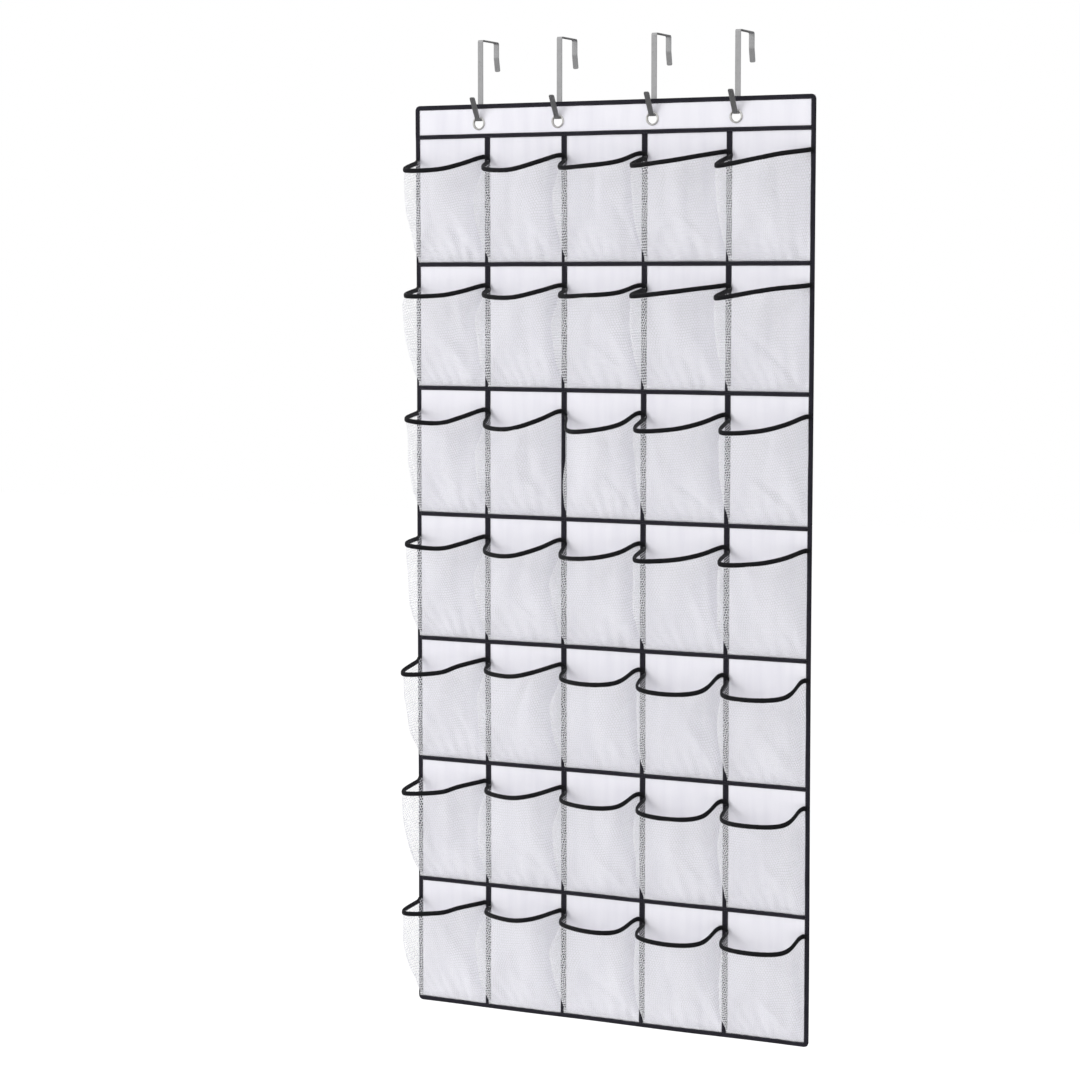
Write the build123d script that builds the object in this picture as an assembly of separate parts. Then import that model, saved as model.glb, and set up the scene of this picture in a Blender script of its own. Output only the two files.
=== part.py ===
from build123d import *

import math
import os

# Over-the-door shoe organizer: a bound fabric panel with a doubled header, a grid of mesh
# pockets in sewn rows and columns, and flat steel hooks that carry it by eyelets.
#
# Frame, in millimetres: +X to the viewer's right, +Z up, and the pockets face -Y. The origin is
# midway between the hooks, on the door's top edge (underside of the hooks' top flanges) and on
# the door's front face (back of the hooks' shanks).

# ---- driving dimensions ---------------------------------------------------------------------
# The panel is sewn by hand, so its rows and columns differ by a few millimetres; both lists are
# between the centre lines of neighbouring tapes, from the left and from the top.
COLUMN_WIDTHS = (127.0, 137.0, 140.0, 143.0, 138.0)
ROW_HEIGHTS = (206.0, 201.0, 207.0, 206.0, 201.0, 203.0, 203.0)
LEFT_LINE = -335.0            # X of the left binding's centre line
HEADER_HEIGHT = 47.0
PANEL_DROP = 105.0            # door's top edge to the centre line of the top binding
CORNER_RADIUS = 8.0

CLOTH = 0.8                   # backing and header band, each
TAPE = 0.6                    # sewn tape and binding, one layer
BINDING_WIDTH = 7.5
ROW_TAPE_WIDTH = 7.0
COLUMN_TAPE_WIDTH = 9.5

MOUTH_DROPS = (38.0, 35.0, 38.0, 38.0, 33.0, 33.0, 33.0)   # row line to the pockets' top corners
POCKET_WALL = 1.0
POCKET_GAP = 1.0              # pocket's side to the edge of the column tape
POUCH_DEPTH = 52.0
POUCH_FOOT = 3.0              # depth at the row tape
POUCH_BACK = 20.0
MOUTH_SAG = 17.0              # angle in degrees at which the mouth falls towards the front
PIPING_WIDTH = 8.0
PIPING_SKIN = 0.8

HOOK_X = (-223.0, -82.0, 82.0, 223.0)
STRIP_WIDTH = 9.0
STRIP = 1.5
DOOR_GAP = 55.0
BACK_FLANGE = 46.0
FLARE_LENGTH = 22.0
FLARE_OUT = 4.5
TOP_BEND = 3.0
J_INNER_RADIUS = 5.0
J_LEAN = 31.0                 # front leg from the vertical, in degrees
J_TIP_RISE = 35.0             # tip above the bottom of the J

EYELET_DROP = 27.0            # centre line of the top binding to the eyelet's centre
EYELET_HOLE = 7.5             # radius
EYELET_OUTER = 11.0           # radius
BARREL = 0.5
EYELET_REST = 0.8             # eyelet's rim above the strip that it hangs on

# ---- places worked out from them --------------------------------------------------------------
COLUMNS = len(COLUMN_WIDTHS)
ROWS = len(ROW_HEIGHTS)
GRID_WIDTH = sum(COLUMN_WIDTHS)
GRID_HEIGHT = sum(ROW_HEIGHTS)
PANEL_WIDTH = GRID_WIDTH + BINDING_WIDTH
PANEL_HEIGHT = HEADER_HEIGHT + GRID_HEIGHT + BINDING_WIDTH
TOP_LINE = -PANEL_DROP
HEADER_LINE = TOP_LINE - HEADER_HEIGHT
BOTTOM_LINE = HEADER_LINE - GRID_HEIGHT
PANEL_CENTRE_X = LEFT_LINE + GRID_WIDTH / 2
PANEL_CENTRE_Z = (TOP_LINE + BOTTOM_LINE) / 2

J_CENTRE_Y = -STRIP - J_INNER_RADIUS
BACK_FACE = J_CENTRE_Y + CLOTH
FRONT_FACE = BACK_FACE - CLOTH
BAND_FACE = FRONT_FACE - CLOTH

EYELET_Z = TOP_LINE - EYELET_DROP
RIM_OVER_STRIP = math.sqrt(EYELET_HOLE**2 - (STRIP_WIDTH / 2) ** 2)
PIVOT_Z = EYELET_Z + RIM_OVER_STRIP - EYELET_REST


def write(shape, name):
    """One STEP file for each node."""
    shape.label = name
    export_step(shape, f"parts/{name}.step")


def slab(x_range, y_range, z_range):
    """A box between two corners."""
    size = [high - low for low, high in (x_range, y_range, z_range)]
    centre = [(low + high) / 2 for low, high in (x_range, y_range, z_range)]
    return Pos(*centre) * Box(*size)


def rounded_sheet(margin, y_range):
    """The panel's outline, drawn in by margin, as a sheet between two Y values."""
    outline = RectangleRounded(
        PANEL_WIDTH - 2 * margin, PANEL_HEIGHT - 2 * margin, max(CORNER_RADIUS - margin, 1.0)
    )
    back = max(y_range)
    centre = (PANEL_CENTRE_X, back, PANEL_CENTRE_Z)
    plane = Plane(origin=centre, x_dir=(1, 0, 0), z_dir=(0, -1, 0))
    return extrude(plane * outline, back - min(y_range))


def along_y(x, z, radius, y_range):
    """A round bar along Y."""
    length = max(y_range) - min(y_range)
    return Pos(x, (y_range[0] + y_range[1]) / 2, z) * Rot(90, 0, 0) * Cylinder(radius, length)


def row_line(row):
    """Height of the row tape under a row of pockets; row 0 gives the header's lower line."""
    return HEADER_LINE - sum(ROW_HEIGHTS[:row])


def column_line(column):
    """X of a column line; 0 is the left edge's and COLUMNS the right edge's."""
    return LEFT_LINE + sum(COLUMN_WIDTHS[:column])


# ---- panel ------------------------------------------------------------------------------------
def eyelet_holes():
    return [along_y(x, EYELET_Z, EYELET_HOLE + BARREL, (-20, 0)) for x in HOOK_X]


def backing_panel():
    return rounded_sheet(TAPE, (FRONT_FACE, BACK_FACE)) - eyelet_holes()


def header_band():
    """Second layer of cloth over the top of the backing, down to the header's line."""
    sheet = rounded_sheet(TAPE, (BAND_FACE, FRONT_FACE))
    top_part = slab((-400, 400), (-20, 0), (HEADER_LINE, TOP_LINE + 20))
    return (sheet & top_part) - eyelet_holes()


def edge_binding(backing, band):
    """Tape folded round the panel's edge, over the header band where there is one."""
    back = BACK_FACE + TAPE
    frame = rounded_sheet(0, (FRONT_FACE - TAPE, back))
    frame -= rounded_sheet(BINDING_WIDTH, (-20, 0))
    thick = rounded_sheet(0, (BAND_FACE - TAPE, back))
    thick -= rounded_sheet(BINDING_WIDTH, (-20, 0))
    thick &= slab((-400, 400), (-20, 0), (HEADER_LINE, TOP_LINE + 20))
    return frame + thick - backing - band


def column_tapes():
    """Upright tapes on the backing, from the header tape down to the bottom binding."""
    half = COLUMN_TAPE_WIDTH / 2
    top = HEADER_LINE - ROW_TAPE_WIDTH / 2
    bottom = BOTTOM_LINE + BINDING_WIDTH / 2
    lines = [column_line(column) for column in range(1, COLUMNS)]
    return [slab((x - half, x + half), (FRONT_FACE - TAPE, FRONT_FACE), (bottom, top)) for x in lines]


def row_tape(row, under):
    """Level tape over a row line, laid over the column tapes or the header band under it."""
    left = LEFT_LINE + BINDING_WIDTH / 2
    right = left + GRID_WIDTH - BINDING_WIDTH
    half = ROW_TAPE_WIDTH / 2
    z = row_line(row)
    front = BAND_FACE - TAPE if row == 0 else FRONT_FACE - 2 * TAPE
    tape = slab((left, right), (front, FRONT_FACE), (z - half, z + half))
    for piece in under:
        tape -= piece
    return tape


# ---- pockets ----------------------------------------------------------------------------------
def pouch(width, height, inset):
    """Solid of a pocket's inside and wall, drawn in by inset; its top corners lie at Z 0.

    Seen from above, the left side goes almost straight forward, the front is fullest in the
    middle and the right side leans back. Seen from the side it tapers down to the row tape.
    It runs on behind the panel's face, so that a drawn-in one leaves the back open.
    """
    plan = Polygon(
        (0, POUCH_BACK),
        (0, 0),
        (4, -46),
        (0.33 * width, -POUCH_DEPTH),
        (0.62 * width, -POUCH_DEPTH),
        (width - 24, -42),
        (width, 0),
        (width, POUCH_BACK),
        align=None,
    )
    side = Polygon(
        (POUCH_BACK, 10),
        (-POUCH_DEPTH, 10),
        (-POUCH_DEPTH, -0.3 * height),
        (-0.72 * POUCH_DEPTH, -0.66 * height),
        (-POUCH_FOOT, -height),
        (POUCH_BACK, -height),
        align=None,
    )
    if inset:
        plan = offset(plan, -inset, kind=Kind.INTERSECTION)
        side = offset(side, -inset, kind=Kind.INTERSECTION)
    upright = extrude(Pos(0, 0, -height - 20) * plan, height + 60)
    level = extrude(Plane(origin=(-20, 0, 0), x_dir=(0, 1, 0), z_dir=(1, 0, 0)) * side, width + 40)
    return upright & level


def below_mouth(low, high):
    """Slanting slice between two distances along the wall under the mouth; both are negative."""
    block = Pos(0, 0, (low + high) / 2) * Box(600, 600, high - low)
    return Rot(MOUTH_SAG, 0, 0) * block


def pocket_and_piping(width, height):
    """Mesh wall with its back open to the panel, and the folded piping on its mouth."""
    in_front = slab((-10, width + 10), (-100, 0), (-height, 60))
    wall = (pouch(width, height, 0) - pouch(width, height, POCKET_WALL)) & in_front
    wall &= below_mouth(-300, -PIPING_SKIN)
    outside = pouch(width, height, -PIPING_SKIN)
    inside = pouch(width, height, POCKET_WALL + PIPING_SKIN)
    piping = (outside - inside) & in_front & below_mouth(-PIPING_WIDTH, 0)
    return wall, piping - wall


def clear_span(column):
    """The room for a pocket between the tapes or bindings on both sides of its column."""
    left = column_line(column - 1) + (BINDING_WIDTH if column == 1 else COLUMN_TAPE_WIDTH) / 2
    right = column_line(column) - (BINDING_WIDTH if column == COLUMNS else COLUMN_TAPE_WIDTH) / 2
    return left + POCKET_GAP, right - POCKET_GAP


# ---- eyelets ----------------------------------------------------------------------------------
def about_y(section, x):
    """Turn a section drawn as (radius, Y) round the eyelet's axis at x."""
    ring = revolve(section, Axis.Y, 360)
    return Pos(x, 0, EYELET_Z) * ring


def eyelet_ring(x):
    """Domed rim on the front, with its barrel through the cloth and a rolled lip behind."""
    middle = (EYELET_HOLE + EYELET_OUTER) / 2
    half = (EYELET_OUTER - EYELET_HOLE) / 2
    lip = BACK_FACE + 2 * TAPE
    dome = ThreePointArc(
        (EYELET_HOLE, BAND_FACE), (middle, BAND_FACE - 0.9 * half), (EYELET_OUTER, BAND_FACE)
    )
    body = Polyline(
        (EYELET_OUTER, BAND_FACE),
        (EYELET_HOLE + BARREL, BAND_FACE),
        (EYELET_HOLE + BARREL, lip - TAPE),
        (EYELET_HOLE + 4 * BARREL, lip - TAPE),
        (EYELET_HOLE + 4 * BARREL, lip - TAPE / 2),
        (EYELET_HOLE + 2 * BARREL, lip),
        (EYELET_HOLE + BARREL, lip),
        (EYELET_HOLE, lip - TAPE / 2),
        (EYELET_HOLE, BAND_FACE),
    )
    return about_y(make_face(dome + body), x)


def eyelet_washer(x):
    """Flat washer behind the cloth, under the rolled lip."""
    disc = along_y(x, EYELET_Z, EYELET_OUTER, (BACK_FACE, BACK_FACE + TAPE))
    return disc - along_y(x, EYELET_Z, EYELET_HOLE + BARREL, (-20, 0))


# ---- hooks ------------------------------------------------------------------------------------
def hook(x):
    """Flat steel strip bent over the door's top and into a J that leans forward at its foot."""
    middle = STRIP / 2
    back = DOOR_GAP + middle
    lean = math.radians(J_LEAN)
    bend = J_INNER_RADIUS + middle
    corner_z = PIVOT_Z + J_INNER_RADIUS - bend / math.tan(lean / 2)
    tip_z = PIVOT_Z + J_TIP_RISE
    tip_y = -middle - (tip_z - corner_z) * math.tan(lean)
    route = FilletPolyline(
        (x, back + FLARE_OUT, middle - BACK_FLANGE),
        (x, back, middle - BACK_FLANGE + FLARE_LENGTH),
        (x, back, middle),
        (x, -middle, middle),
        (x, -middle, corner_z),
        (x, tip_y, tip_z),
        radius=[12.0, TOP_BEND, TOP_BEND, bend],
    )
    start = Plane(origin=route @ 0, x_dir=(1, 0, 0), z_dir=route % 0)
    strip = sweep(start * Rectangle(STRIP_WIDTH, STRIP), path=route)
    across = strip.edges().filter_by(lambda edge: abs(edge.length - STRIP) < 0.01)
    return fillet(across, 2.5)


# ---- the whole ----------------------------------------------------------------------------------
def main():
    os.makedirs("parts", exist_ok=True)

    backing = backing_panel()
    band = header_band()
    write(backing, "backing_panel")
    write(band, "header_band")
    write(edge_binding(backing, band), "edge_binding")

    uprights = column_tapes()
    write(Compound(children=uprights), "column_tapes")
    write(row_tape(0, [band]), "header_tape")
    for row in range(1, ROWS):
        write(row_tape(row, uprights), f"row_tape_{row}")

    for row in range(1, ROWS + 1):
        mouth_z = row_line(row - 1) - MOUTH_DROPS[row - 1]
        foot = BINDING_WIDTH if row == ROWS else ROW_TAPE_WIDTH
        height = mouth_z - (row_line(row) + foot / 2)
        pipings = []
        for column in range(1, COLUMNS + 1):
            left, right = clear_span(column)
            wall, piping = pocket_and_piping(right - left, height)
            place = Pos(left, FRONT_FACE, mouth_z)
            write(place * wall, f"pocket_r{row}_c{column}")
            pipings.append(place * piping)
        write(Compound(children=pipings), f"mouth_piping_r{row}")

    write(Compound(children=[eyelet_ring(x) for x in HOOK_X]), "eyelet_rings")
    write(Compound(children=[eyelet_washer(x) for x in HOOK_X]), "eyelet_washers")
    for number, x in enumerate(HOOK_X, start=1):
        write(hook(x), f"hook_{number}")


main()
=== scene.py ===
"""Looks of an over-the-door shoe organizer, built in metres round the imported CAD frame."""
import math
import random

import bpy
import numpy as np
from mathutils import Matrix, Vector, geometry, noise


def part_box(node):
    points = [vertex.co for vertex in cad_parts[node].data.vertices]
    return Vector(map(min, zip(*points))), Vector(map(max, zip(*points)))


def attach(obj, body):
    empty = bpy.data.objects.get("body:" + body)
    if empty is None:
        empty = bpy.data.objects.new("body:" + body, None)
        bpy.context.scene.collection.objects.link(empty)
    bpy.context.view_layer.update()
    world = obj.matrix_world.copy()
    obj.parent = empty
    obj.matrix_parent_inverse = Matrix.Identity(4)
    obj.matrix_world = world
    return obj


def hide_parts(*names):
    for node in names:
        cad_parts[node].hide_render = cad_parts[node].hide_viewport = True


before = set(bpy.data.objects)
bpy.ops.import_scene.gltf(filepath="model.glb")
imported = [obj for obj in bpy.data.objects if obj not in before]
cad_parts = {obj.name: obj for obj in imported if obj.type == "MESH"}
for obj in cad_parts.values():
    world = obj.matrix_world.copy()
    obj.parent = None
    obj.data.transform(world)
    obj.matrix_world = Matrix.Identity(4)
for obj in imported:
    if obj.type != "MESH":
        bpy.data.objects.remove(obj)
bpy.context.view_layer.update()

MM = 0.001
X, Y, Z = range(3)
UP = Vector((0, 0, 1))
FORWARD = Vector((0, -1, 0))


def middle(node, axis):
    """The middle of a CAD node's box along one axis."""
    low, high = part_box(node)
    return (low[axis] + high[axis]) / 2


# ---- places read from the frame ---------------------------------------------------------------
ROWS = 7
COLUMNS = 5
BACK_LOW, BACK_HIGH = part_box("backing_panel")
EDGE_LOW, EDGE_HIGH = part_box("edge_binding")
BAND_LOW, BAND_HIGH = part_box("header_band")
RING_LOW, RING_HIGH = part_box("eyelet_rings")
WASHER_LOW, WASHER_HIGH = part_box("eyelet_washers")

CLOTH_Y = middle("backing_panel", Y)
FACE_Y = BACK_LOW.y
BAND_Y = middle("header_band", Y)
HEADER_LINE = middle("header_tape", Z)
ROW_LINES = [HEADER_LINE] + [middle(f"row_tape_{number}", Z) for number in range(1, ROWS)]
COLUMN_X = [
    (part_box(f"pocket_r1_c{number}")[1].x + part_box(f"pocket_r1_c{number + 1}")[0].x) / 2
    for number in range(1, COLUMNS)
]
HOOK_X = [middle(f"hook_{number}", X) for number in range(1, 5)]
EYELET_Z = middle("eyelet_rings", Z)
EYELET_OUTER = (RING_HIGH.z - RING_LOW.z) / 2

# ---- sizes shared by several pieces -------------------------------------------------------------
BINDING_WIDTH = 7.5 * MM
COLUMN_TAPE_WIDTH = 9.5 * MM
ROW_TAPE_WIDTH = 7 * MM
EYELET_HOLE = 7.5 * MM                                   # radius

BROAD_RIPPLE = 2.4 * MM                                  # height of the hanging cloth's swells
WAVE_RIPPLE = 0.5 * MM                                   # height of its upright waves
WAVE_LENGTH = 280 * MM


def smooth(value, low, high):
    """0 below low, 1 above high, and a smooth step between."""
    t = min(max((value - low) / (high - low), 0), 1)
    return t * t * (3 - 2 * t)


def ripple(x, z):
    """How far the hanging cloth stands forward of flat at a place; the header is kept flat."""
    below = HEADER_LINE - z
    slack = smooth(below, 0.0, 0.15) * (1 + 0.8 * smooth(below, 0.6, 1.45))
    swell = noise.noise(Vector((x * 2.2, z * 1.7, 3.1))) * BROAD_RIPPLE
    wave = math.sin(2 * math.pi * x / WAVE_LENGTH + 1.1 + 1.5 * z) * WAVE_RIPPLE
    return slack * (swell + wave)


# ---- mesh making ------------------------------------------------------------------------------
def make_mesh(name, points, faces, uvs, material):
    """A smooth mesh object with one UV pair, in metres of cloth, for each vertex."""
    mesh = bpy.data.meshes.new(name)
    mesh.from_pydata([tuple(p) for p in points], [], faces)
    layer = mesh.uv_layers.new(name="cloth")
    corners = np.zeros(len(mesh.loops), np.int32)
    mesh.loops.foreach_get("vertex_index", corners)
    layer.data.foreach_set("uv", np.asarray(uvs, np.float32)[corners].ravel())
    mesh.polygons.foreach_set("use_smooth", [True] * len(mesh.polygons))
    mesh.materials.append(material)
    mesh.validate()
    piece = bpy.data.objects.new(name, mesh)
    bpy.context.scene.collection.objects.link(piece)
    return piece


def join_parts(parts):
    """Puts several (points, faces, uvs) together."""
    points, faces, uvs = [], [], []
    for part_points, part_faces, part_uvs in parts:
        start = len(points)
        points.extend(part_points)
        faces.extend([tuple(start + i for i in face) for face in part_faces])
        uvs.extend(part_uvs)
    return points, faces, uvs


def angles(count):
    """Evenly spaced angles round a full turn."""
    return [2 * math.pi * k / count for k in range(count)]


def tube_faces(rings, count, closed):
    """Quads between neighbouring rings of points; closed joins the last ring to the first."""
    faces = []
    for ring in range(rings if closed else rings - 1):
        here, there = ring * count, (ring + 1) % rings * count
        for k in range(count):
            following = (k + 1) % count
            faces.append((here + k, there + k, there + following, here + following))
    return faces


def swept(stations, section):
    """Sweeps a closed section of (across, out) pairs along (origin, across, out) stations."""
    count, rings = len(section), len(stations)
    lengths = [0.0]
    for (a, _, _), (b, _, _) in zip(stations, stations[1:]):
        lengths.append(lengths[-1] + (b - a).length)
    around = [0.0]
    for (a0, b0), (a1, b1) in zip(section, section[1:]):
        around.append(around[-1] + math.hypot(a1 - a0, b1 - b0))
    points, uvs = [], []
    for (origin, across, out), v in zip(stations, lengths):
        for (a, b), u in zip(section, around):
            points.append(origin + across * a + out * b)
            uvs.append((u, v))
    faces = tube_faces(rings, count, closed=False)
    faces.append(tuple(range(count)))
    faces.append(tuple((rings - 1) * count + k for k in reversed(range(count))))
    return points, faces, uvs


def tape_section(width, thick, steps=8):
    """A tape's section: flat behind, softly domed in front, with rolled edges."""
    front = []
    for k in range(steps + 1):
        s = -1 + 2 * k / steps
        front.append((s * width / 2, thick * (0.45 + 0.55 * (1 - abs(s) ** 3))))
    return [(-width / 2, 0)] + front + [(width / 2, 0)]


# ---- node trees ---------------------------------------------------------------------------------
class Nodes:
    """Builds the node tree of a material or world in a few words."""

    def __init__(self, owner, shader="Principled BSDF"):
        self.owner = owner
        self.owner.use_nodes = True
        self.tree = owner.node_tree
        self.shader = self.tree.nodes[shader]

    def put(self, node, key, value):
        """Links or sets one input, named by its words joined with _, or by _ and its number."""
        socket = node.inputs[int(key[1:])] if key[0] == "_" else node.inputs[key.replace("_", " ")]
        if isinstance(value, bpy.types.NodeSocket):
            self.tree.links.new(value, socket)
        else:
            socket.default_value = value

    def add(self, kind, settings=None, **inputs):
        """A new node with its settings and inputs; an input is a number, a colour or a link."""
        node = self.tree.nodes.new(kind)
        for key, value in (settings or {}).items():
            setattr(node, key, value)
        for key, value in inputs.items():
            self.put(node, key, value)
        return node

    def math(self, operation, *values, clamp=False):
        node = self.add("ShaderNodeMath", {"operation": operation, "use_clamp": clamp})
        for index, value in enumerate(values):
            self.put(node, f"_{index}", value)
        return node.outputs[0]

    def between(self, value, low, high, to_low=0.0, to_high=1.0):
        """Maps low..high to to_low..to_high and holds the ends."""
        return self.add("ShaderNodeMapRange", None, Value=value, From_Min=low, From_Max=high,
                        To_Min=to_low, To_Max=to_high).outputs[0]

    def mix(self, factor, first, second):
        """Blends two colours."""
        return self.add("ShaderNodeMix", {"data_type": "RGBA"}, _0=factor, _6=first, _7=second).outputs[2]

    def blend(self, factor, first, second):
        """Blends two numbers."""
        return self.add("ShaderNodeMix", None, _0=factor, _2=first, _3=second).outputs[0]

    def scaled(self, source, scale):
        """The place times a scale for each axis: a noise then has about that many lumps in a metre."""
        return self.add("ShaderNodeMapping", None, Vector=source, Scale=scale).outputs[0]

    def noise(self, vector, detail=2.0, rough=0.5):
        return self.add("ShaderNodeTexNoise", None, Vector=vector, Scale=1.0, Detail=detail,
                        Roughness=rough).outputs[0]

    def bump(self, height, distance, strength, normal=None):
        node = self.add("ShaderNodeBump", None, Height=height, Distance=distance, Strength=strength)
        if normal is not None:
            self.put(node, "Normal", normal)
        return node.outputs[0]

    def uv(self):
        """Place on the cloth, in metres: across it and down it."""
        return self.add("ShaderNodeUVMap", {"uv_map": "cloth"}).outputs[0]

    def where(self):
        """Place on the piece itself, in metres."""
        return self.add("ShaderNodeTexCoord").outputs["Object"]

    def finish(self, constants, **links):
        """Sets the shader's own sockets, links the others and gives back the material or world."""
        for key, value in constants.items():
            self.shader.inputs[key].default_value = value
        for key, value in links.items():
            self.put(self.shader, key, value)
        return self.owner


def new_look(name):
    """A new material's node tree."""
    return Nodes(bpy.data.materials.new(name))


def nonwoven_material():
    """White point-bonded cloth: bond dimples, loose fibres and faint cloudy streaks."""
    thin, thick, bonded = (0.74, 0.73, 0.80, 1), (0.85, 0.842, 0.895, 1), (0.62, 0.61, 0.68, 1)
    look = new_look("nonwoven")
    uv = look.uv()
    streaks = look.noise(look.scaled(uv, (55, 5, 1)), 3.0)
    clouds = look.noise(look.scaled(uv, (9, 9, 1)), 3.0)
    fibres = look.noise(look.scaled(uv, (2600, 500, 1)), 2.0)
    tone = look.math("MULTIPLY_ADD", streaks, 0.6, 0.2)
    tone = look.math("ADD", tone, look.math("MULTIPLY", clouds, 0.4))
    dots = look.add("ShaderNodeTexVoronoi", None, Vector=look.scaled(uv, (700, 700, 1)), Scale=1.0,
                    Randomness=0.12)
    dimple = look.between(dots.outputs["Distance"], 0.12, 0.38)
    base = look.mix(look.between(tone, 0.35, 0.75), thin, thick)
    base = look.mix(look.math("MULTIPLY", dimple, 0.5), look.mix(0.12, base, bonded), base)
    normal = look.bump(fibres, 0.12 * MM, 0.5)
    normal = look.bump(dimple, 0.18 * MM, 0.6, normal)
    return look.finish({"Sheen Weight": 0.15, "Sheen Roughness": 0.5}, Base_Color=base, Normal=normal,
                       Roughness=look.between(fibres, 0.3, 0.7, 0.62, 0.8))


MESH_PITCH = 4.1 * MM                                    # from one hole to the next across the cloth
MESH_DRIFT = 7 * MM                                      # how far the pattern strays from straight
HOLE_SHAPE = 0.8                                         # a hole's width over its height


def net_material():
    """Open white mesh: rounded holes in staggered rows, bordered by knitted threads."""
    shaded, bright = (0.71, 0.71, 0.74, 1), (0.86, 0.86, 0.885, 1)
    look = new_look("net")
    uv = look.uv()
    drift = look.noise(look.scaled(uv, (28, 28, 1)), 1.0).node.outputs["Color"]
    pull = look.add("ShaderNodeVectorMath", {"operation": "SCALE"}, _0=drift, Scale=MESH_DRIFT)
    uv = look.add("ShaderNodeVectorMath", {"operation": "ADD"}, _0=uv, _1=pull.outputs[0]).outputs[0]
    split = look.add("ShaderNodeSeparateXYZ", None, Vector=uv)
    wave = 2 * math.pi / (MESH_PITCH * math.sqrt(3) / 2)
    crests = []
    for degrees in (90, 210, 330):
        angle = math.radians(degrees)
        along = look.math("MULTIPLY", split.outputs[0], math.cos(angle) * wave)
        down = look.math("MULTIPLY", split.outputs[1], math.sin(angle) * wave * HOLE_SHAPE)
        crests.append(look.math("COSINE", look.math("ADD", along, down)))
    hole = look.math("ADD", look.math("ADD", crests[0], crests[1]), crests[2])
    clouds = look.noise(look.scaled(uv, (14, 9, 1)), 2.0)
    twist = look.noise(look.scaled(uv, (2500, 2500, 1)), 2.0)
    # A place is thread where the hole pattern is below the limit; a pressed pleat is nearly closed.
    pressed = look.add("ShaderNodeAttribute", {"attribute_name": "pressed"}).outputs["Fac"]
    limit = look.between(clouds, 0.3, 0.7, -0.94, -0.77)
    limit = look.math("ADD", limit, look.math("MULTIPLY", pressed, 0.9))
    alpha = look.between(look.math("SUBTRACT", hole, limit), -0.15, 0.15, 1.0, 0.0)
    normal = look.bump(look.math("MULTIPLY", hole, -1.0), 0.2 * MM, 0.6)
    normal = look.bump(twist, 0.08 * MM, 0.6, normal)
    return look.finish({"Sheen Weight": 0.25, "Sheen Roughness": 0.4, "Roughness": 0.55},
                       Base_Color=look.mix(twist, shaded, bright), Normal=normal, Alpha=alpha)


WARP_PITCH = 0.45 * MM                                   # between a woven tape's lengthwise threads


def ribbed_material(name, dark, light, rib, rough):
    """Black woven tape: ribs across it, a fine warp along it and a painted highlight, lighter and bluish,
    on the rib crowns in cloudy patches.
    """
    look = new_look(name)
    uv = look.uv()
    split = look.add("ShaderNodeSeparateXYZ", None, Vector=uv)
    ribs = look.math("SINE", look.math("MULTIPLY", split.outputs[1], 2 * math.pi / rib))
    warp = look.math("SINE", look.math("MULTIPLY", split.outputs[0], 2 * math.pi / WARP_PITCH))
    clouds = look.noise(look.scaled(uv, (300, 30, 1)), 3.0)
    grain = look.noise(look.scaled(uv, (4000, 4000, 1)), 1.0)
    # Painted highlight: the rib crowns are lightened in cloudy patches towards the lighter, bluish colour,
    # flecked by the fine grain.
    crowns, highlight_patches = look.between(ribs, -0.2, 1.0), look.between(clouds, 0.35, 0.75)
    painted_highlight = look.math("MULTIPLY", crowns, highlight_patches, clamp=True)
    weave = look.math("ADD", ribs, look.math("MULTIPLY", warp, 0.45))
    return look.finish({"Sheen Weight": 0.04, "Sheen Roughness": 0.45, "Specular IOR Level": 0.22},
                       Base_Color=look.mix(painted_highlight, dark, look.mix(grain, dark, light)),
                       Normal=look.bump(weave, 0.12 * MM, 0.8),
                       Roughness=look.between(clouds, 0.3, 0.7, rough - 0.06, rough + 0.08))


def thread_material():
    """Dark twisted sewing thread."""
    look = new_look("thread")
    twist = look.noise(look.scaled(look.uv(), (3000, 900, 1)), 1.0)
    base = look.mix(twist, (0.012, 0.012, 0.018, 1), (0.05, 0.05, 0.06, 1))
    return look.finish({"Sheen Weight": 0.2}, Base_Color=base, Normal=look.bump(twist, 0.1 * MM, 0.5),
                       Roughness=look.between(twist, 0.3, 0.7, 0.4, 0.55))


def steel_material():
    """Zinc-plated strip, brushed along its length, with a few cloudy and rubbed places."""
    dull, clean = (0.44, 0.44, 0.445, 1), (0.58, 0.58, 0.585, 1)
    bright, scratched = (0.68, 0.68, 0.69, 1), (0.25, 0.25, 0.25, 1)
    look = new_look("hook_steel")
    where = look.where()
    brushed = look.noise(look.scaled(where, (2200, 45, 45)), 4.0, 0.65)
    clouds = look.noise(look.scaled(where, (90, 90, 90)), 3.0)
    scratches = look.noise(look.scaled(where, (5200, 160, 160)), 1.0)
    base = look.mix(clouds, dull, clean)
    base = look.mix(look.math("MULTIPLY", brushed, 0.4), base, bright)
    base = look.mix(look.between(scratches, 0.66, 0.72), base, scratched)
    return look.finish({"Metallic": 1.0}, Base_Color=base, Normal=look.bump(brushed, 0.06 * MM, 0.5),
                       Roughness=look.between(brushed, 0.3, 0.7, 0.3, 0.46))


def nickel_material():
    """Bright nickel plate with fine scratches and darker rubbed spots."""
    look = new_look("eyelet_nickel")
    where = look.where()
    clouds = look.noise(look.scaled(where, (260, 260, 260)), 3.0)
    scratches = look.noise(look.scaled(where, (900, 900, 4200)), 2.0)
    base = look.mix(clouds, (0.60, 0.59, 0.57, 1), (0.86, 0.85, 0.83, 1))
    return look.finish({"Metallic": 1.0}, Base_Color=base, Normal=look.bump(scratches, 0.05 * MM, 0.4),
                       Roughness=look.between(scratches, 0.3, 0.7, 0.14, 0.3))


NONWOVEN = nonwoven_material()
NET = net_material()
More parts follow.
